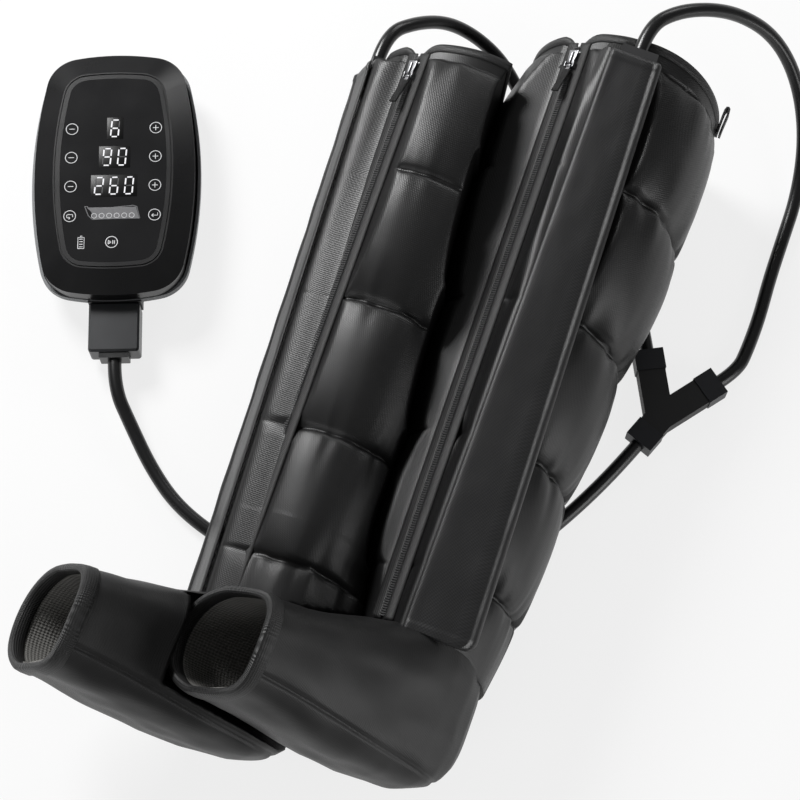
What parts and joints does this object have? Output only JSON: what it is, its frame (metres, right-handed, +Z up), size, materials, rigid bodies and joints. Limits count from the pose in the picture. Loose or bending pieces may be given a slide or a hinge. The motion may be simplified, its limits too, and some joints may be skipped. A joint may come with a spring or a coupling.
{
  "type": "compression therapy pump",
  "caption": "Compression therapy pump for the legs: a keypad controller with an air pump, a plug and hose set with a Y splitter, and zipped, inflatable leg boots.",
  "frame": {"origin": "centre of the controller's base pad, on the floor", "axes": "+Y from the feet to the thighs along the legs of the boots, +X from the controller towards the boots, +Z up"},
  "size_m": [0.7306, 0.8082, 0.2463],
  "materials": {
    "case_black": "satin black",
    "panel_black": "gloss",
    "case_grey": "fine texture",
    "key_black": "satin",
    "display_glass": "gloss",
    "board_green": "solder mask",
    "switch_grey": "moulded",
    "moulded_black": "moulded",
    "cell_wrap": "shrink wrap",
    "screw_steel": "bright",
    "pad_rubber": "matt",
    "plug_grey": "satin",
    "plug_collar_rubber": "ribbed",
    "hose_black": "satin",
    "splitter_black": "matt",
    "splitter_cap_black": "satin",
    "leg_fabric": "coated woven nylon",
    "foot_fabric": "coated twill",
    "hem_fabric": "folded hem",
    "binding_fabric": "ribbed binding",
    "flap_fabric": "twill",
    "webbing": "webbing",
    "zip_black": "coil zip",
    "slider_metal": "polished",
    "air_tube": "soft tube"
  },
  "bodies": {
    "boots_and_hoses": {"front_toe_chamber": "foot_fabric", "front_heel_chamber": "foot_fabric", "front_ankle_chamber": "leg_fabric", "front_calf_chamber": "leg_fabric", "front_knee_chamber": "leg_fabric", "front_thigh_chamber": "leg_fabric", "front_top_cuff": "hem_fabric", "front_toe_binding": "binding_fabric", "front_zipper": "zip_black", "front_manifold": "moulded_black", "front_air_tubes": "air_tube", "front_hang_loop": "webbing", "rear_toe_chamber": "foot_fabric", "rear_heel_chamber": "foot_fabric", "rear_ankle_chamber": "leg_fabric", "rear_calf_chamber": "leg_fabric", "rear_knee_chamber": "leg_fabric", "rear_thigh_chamber": "leg_fabric", "rear_top_cuff": "hem_fabric", "rear_toe_binding": "binding_fabric", "rear_zipper": "zip_black", "rear_manifold": "moulded_black", "rear_air_tubes": "air_tube", "rear_hang_loop": "webbing", "plug_body": "plug_grey", "plug_collar": "plug_collar_rubber", "main_hose": "hose_black", "splitter_body": "splitter_black", "splitter_caps": "splitter_cap_black", "left_branch_hose": "hose_black", "right_branch_hose": "hose_black"},
    "controller": {"rear_shell": "case_grey", "front_shell": "case_black", "front_panel": "panel_black", "display_module": "display_glass", "circuit_board": "board_green", "key_switches": "switch_grey", "outlet_socket": "moulded_black", "charge_port": "moulded_black", "case_screws": "screw_steel", "base_pad": "pad_rubber", "air_pump": "moulded_black", "battery_pack": "cell_wrap", "valve_block": "moulded_black"},
    "mode_minus_button": {"mode_minus_key": "key_black"},
    "mode_plus_button": {"mode_plus_key": "key_black"},
    "time_minus_button": {"time_minus_key": "key_black"},
    "time_plus_button": {"time_plus_key": "key_black"},
    "pressure_minus_button": {"pressure_minus_key": "key_black"},
    "pressure_plus_button": {"pressure_plus_key": "key_black"},
    "position_button": {"position_key": "key_black"},
    "confirm_button": {"confirm_key": "key_black"},
    "start_pause_button": {"start_pause_key": "key_black"},
    "front_zip_runner": {"front_zip_slider": "slider_metal"},
    "front_zip_tab": {"front_zip_pull": "webbing"},
    "front_flap": {"front_hose_flap": "flap_fabric"},
    "rear_zip_runner": {"rear_zip_slider": "slider_metal"},
    "rear_zip_tab": {"rear_zip_pull": "webbing"},
    "rear_flap": {"rear_hose_flap": "flap_fabric"}
  },
  "joints": [
    {"name": "controller_unplug", "type": "slide", "parent": "boots_and_hoses", "child": "controller", "axis": [-0.3584, 0.9336, 0], "range_m": [0, 0.03]},
    {"name": "mode_minus_press", "type": "slide", "parent": "controller", "child": "mode_minus_button", "axis": [0, 0, -1], "range_m": [0, 0.0007], "stiffness_N_per_m": 600},
    {"name": "mode_plus_press", "type": "slide", "parent": "controller", "child": "mode_plus_button", "axis": [0, 0, -1], "range_m": [0, 0.0007], "stiffness_N_per_m": 600},
    {"name": "time_minus_press", "type": "slide", "parent": "controller", "child": "time_minus_button", "axis": [0, 0, -1], "range_m": [0, 0.0007], "stiffness_N_per_m": 600},
    {"name": "time_plus_press", "type": "slide", "parent": "controller", "child": "time_plus_button", "axis": [0, 0, -1], "range_m": [0, 0.0007], "stiffness_N_per_m": 600},
    {"name": "pressure_minus_press", "type": "slide", "parent": "controller", "child": "pressure_minus_button", "axis": [0, 0, -1], "range_m": [0, 0.0007], "stiffness_N_per_m": 600},
    {"name": "pressure_plus_press", "type": "slide", "parent": "controller", "child": "pressure_plus_button", "axis": [0, 0, -1], "range_m": [0, 0.0007], "stiffness_N_per_m": 600},
    {"name": "position_press", "type": "slide", "parent": "controller", "child": "position_button", "axis": [0, 0, -1], "range_m": [0, 0.0007], "stiffness_N_per_m": 600},
    {"name": "confirm_press", "type": "slide", "parent": "controller", "child": "confirm_button", "axis": [0, 0, -1], "range_m": [0, 0.0007], "stiffness_N_per_m": 600},
    {"name": "start_pause_press", "type": "slide", "parent": "controller", "child": "start_pause_button", "axis": [0, 0, -1], "range_m": [0, 0.0007], "stiffness_N_per_m": 600},
    {"name": "front_zip_run", "type": "slide", "parent": "boots_and_hoses", "child": "front_zip_runner", "axis": [0.0139, -0.9953, -0.0957], "range_m": [0, 0.5]},
    {"name": "front_zip_tab_lift", "type": "hinge", "parent": "front_zip_runner", "child": "front_zip_tab", "pos_m": [0.38303, 0.19755, 0.16406], "axis": [-0.7871, 0.0481, -0.6149], "range_deg": [0, 100]},
    {"name": "front_flap_open", "type": "hinge", "parent": "boots_and_hoses", "child": "front_flap", "pos_m": [0.41588, -0.34117, 0.13631], "axis": [-0.003, -0.9945, -0.1046], "range_deg": [0, 85]},
    {"name": "rear_zip_run", "type": "slide", "parent": "boots_and_hoses", "child": "rear_zip_runner", "axis": [0.0147, -0.9948, -0.1007], "range_m": [0, 0.47]},
    {"name": "rear_zip_tab_lift", "type": "hinge", "parent": "rear_zip_runner", "child": "rear_zip_tab", "pos_m": [0.24805, 0.13769, 0.16393], "axis": [-0.787, 0.0506, -0.6149], "range_deg": [0, 100]},
    {"name": "rear_flap_open", "type": "hinge", "parent": "boots_and_hoses", "child": "rear_flap", "pos_m": [0.23771, -0.37426, 0.10602], "axis": [-0.0586, 0.996, 0.067], "range_deg": [0, 85]}
  ]
}
